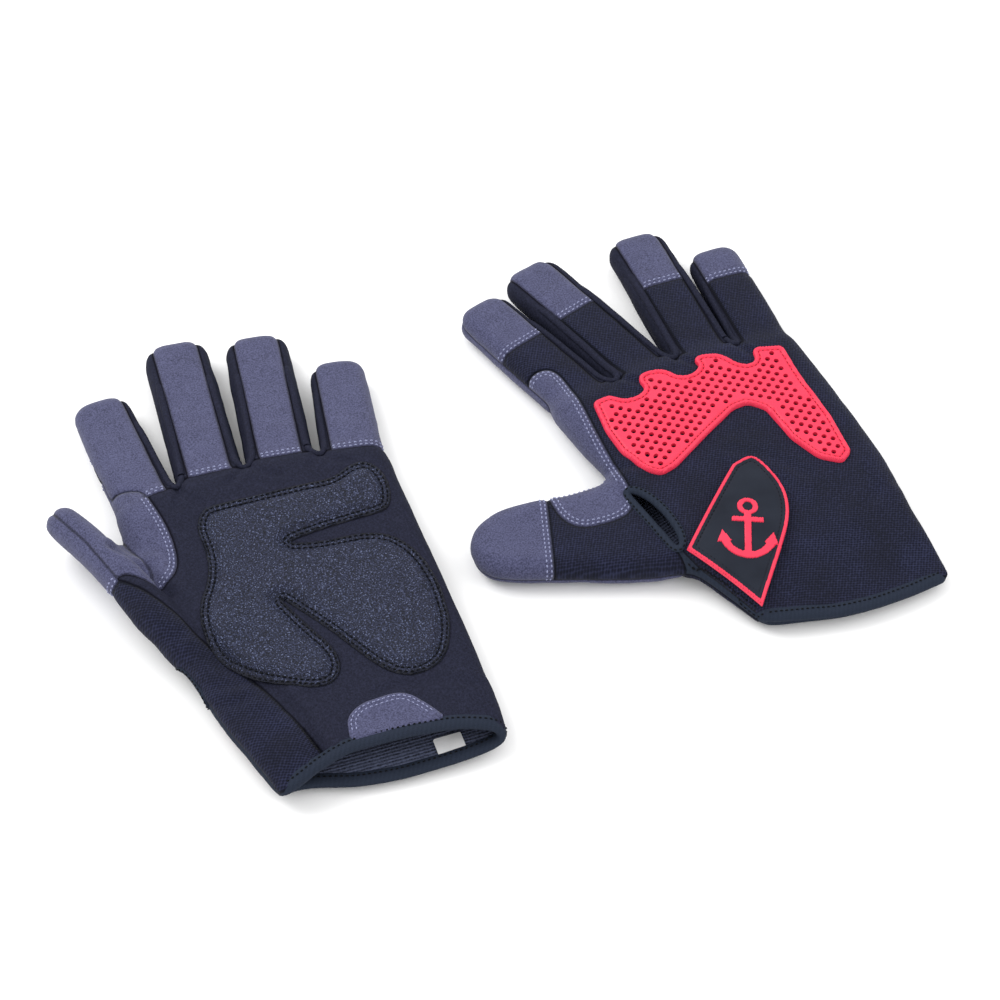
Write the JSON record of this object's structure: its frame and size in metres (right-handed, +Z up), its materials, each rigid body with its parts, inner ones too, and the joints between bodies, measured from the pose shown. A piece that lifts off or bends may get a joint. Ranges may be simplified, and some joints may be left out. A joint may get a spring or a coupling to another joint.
{
  "type": "sailing gloves",
  "caption": "Pair of full-finger sailing gloves lying flat, one palm up and one back up: suede-tipped fingers, stretch backs, moulded knuckle guards, quilted palm patches and wrist tabs.",
  "frame": {"origin": "under the middle of the pair's bounding box, on the surface the gloves lie on", "axes": "+Z up; +Y along the fingers of the pair, from the cuffs to the fingertips; +X across, from the palm-up left-hand glove to the back-up right-hand glove"},
  "size_m": [0.3568, 0.2636, 0.0282],
  "materials": {
    "suede_grey": "brushed grey suede",
    "mesh_black": "fine dark stretch knit",
    "leather_black": "smooth dark synthetic leather",
    "grip": "dark slate, printed granules",
    "tpr_red": "moulded bright coral red, satin",
    "rubber_dark": "moulded dark slate, satin",
    "binding": "woven edge tape",
    "lining": "ribbed knit",
    "hook_loop": "hook-and-loop tape",
    "label": "woven white"
  },
  "bodies": {
    "left_hand": {"left_palm_panel": "leather_black", "left_back_panel": "mesh_black", "left_outer_side_panel": "mesh_black", "left_web_patch": "suede_grey", "left_wrist_strap": "mesh_black", "left_grip_patch": "grip", "left_knuckle_guard": "tpr_red", "left_loop_pad": "hook_loop", "left_pull_patch": "suede_grey", "left_cuff_binding": "binding", "left_size_label": "label", "left_lining": "lining"},
    "left_index": {"left_index_suede": "suede_grey", "left_index_back": "mesh_black", "left_index_sides": "leather_black"},
    "left_middle": {"left_middle_suede": "suede_grey", "left_middle_back": "mesh_black", "left_middle_sides": "leather_black"},
    "left_ring": {"left_ring_suede": "suede_grey", "left_ring_back": "mesh_black", "left_ring_sides": "leather_black"},
    "left_little": {"left_little_suede": "suede_grey", "left_little_back": "mesh_black", "left_little_sides": "leather_black"},
    "left_thumb": {"left_thumb_suede": "suede_grey", "left_thumb_back": "mesh_black", "left_thumb_sides": "leather_black"},
    "left_tab": {"left_tab_pull": "rubber_dark", "left_hook_pad": "hook_loop"},
    "right_hand": {"right_palm_panel": "leather_black", "right_back_panel": "mesh_black", "right_outer_side_panel": "mesh_black", "right_web_patch": "suede_grey", "right_wrist_strap": "mesh_black", "right_grip_patch": "grip", "right_knuckle_guard": "tpr_red", "right_loop_pad": "hook_loop", "right_pull_patch": "suede_grey", "right_cuff_binding": "binding", "right_size_label": "label", "right_lining": "lining"},
    "right_index": {"right_index_suede": "suede_grey", "right_index_back": "mesh_black", "right_index_sides": "leather_black"},
    "right_middle": {"right_middle_suede": "suede_grey", "right_middle_back": "mesh_black", "right_middle_sides": "leather_black"},
    "right_ring": {"right_ring_suede": "suede_grey", "right_ring_back": "mesh_black", "right_ring_sides": "leather_black"},
    "right_little": {"right_little_suede": "suede_grey", "right_little_back": "mesh_black", "right_little_sides": "leather_black"},
    "right_thumb": {"right_thumb_suede": "suede_grey", "right_thumb_back": "mesh_black", "right_thumb_sides": "leather_black"},
    "right_tab": {"right_tab_pull": "rubber_dark", "right_hook_pad": "hook_loop"}
  },
  "joints": [
    {"name": "left_index_fold", "type": "hinge", "parent": "left_hand", "child": "left_index", "pos_m": [-0.13118, 0.04185, 0.0202], "axis": [0.9998, 0.0175, 0], "range_deg": [0, 80]},
    {"name": "left_middle_fold", "type": "hinge", "parent": "left_hand", "child": "left_middle", "pos_m": [-0.10092, 0.04399, 0.0202], "axis": [0.9907, -0.1357, 0], "range_deg": [0, 80]},
    {"name": "left_ring_fold", "type": "hinge", "parent": "left_hand", "child": "left_ring", "pos_m": [-0.06882, 0.04146, 0.0202], "axis": [0.981, -0.1942, 0], "range_deg": [0, 80]},
    {"name": "left_little_fold", "type": "hinge", "parent": "left_hand", "child": "left_little", "pos_m": [-0.03775, 0.0335, 0.0202], "axis": [0.9736, -0.2284, 0], "range_deg": [0, 80]},
    {"name": "left_thumb_fold", "type": "hinge", "parent": "left_hand", "child": "left_thumb", "pos_m": [-0.14468, -0.03282, 0.0202], "axis": [0.0785, 0.9969, 0], "range_deg": [0, 60]},
    {"name": "left_tab_flap", "type": "hinge", "parent": "left_hand", "child": "left_tab", "pos_m": [-0.13407, -0.09233, 0], "axis": [-0.3084, 0.9512, 0], "range_deg": [0, 160]},
    {"name": "right_glove_slide", "type": "slide", "parent": "left_hand", "child": "right_hand", "axis": [1, 0, 0], "range_m": [0, 0.2]},
    {"name": "right_index_fold", "type": "hinge", "parent": "right_hand", "child": "right_index", "pos_m": [0.07091, 0.02435, 0.002], "axis": [-0.9588, -0.284, 0], "range_deg": [0, 80]},
    {"name": "right_middle_fold", "type": "hinge", "parent": "right_hand", "child": "right_middle", "pos_m": [0.10127, 0.02951, 0.002], "axis": [-0.9636, -0.2672, 0], "range_deg": [0, 80]},
    {"name": "right_ring_fold", "type": "hinge", "parent": "right_hand", "child": "right_ring", "pos_m": [0.13175, 0.02766, 0.002], "axis": [-0.9997, 0.0262, 0], "range_deg": [0, 80]},
    {"name": "right_little_fold", "type": "hinge", "parent": "right_hand", "child": "right_little", "pos_m": [0.16001, 0.02361, 0.002], "axis": [-0.9981, 0.061, 0], "range_deg": [0, 80]},
    {"name": "right_thumb_fold", "type": "hinge", "parent": "right_hand", "child": "right_thumb", "pos_m": [0.06543, -0.04841, 0.002], "axis": [0.1724, -0.985, 0], "range_deg": [0, 60]},
    {"name": "right_tab_flap", "type": "hinge", "parent": "right_hand", "child": "right_tab", "pos_m": [0.08236, -0.09561, 0.0222], "axis": [0.4612, -0.8873, 0], "range_deg": [0, 160]}
  ]
}
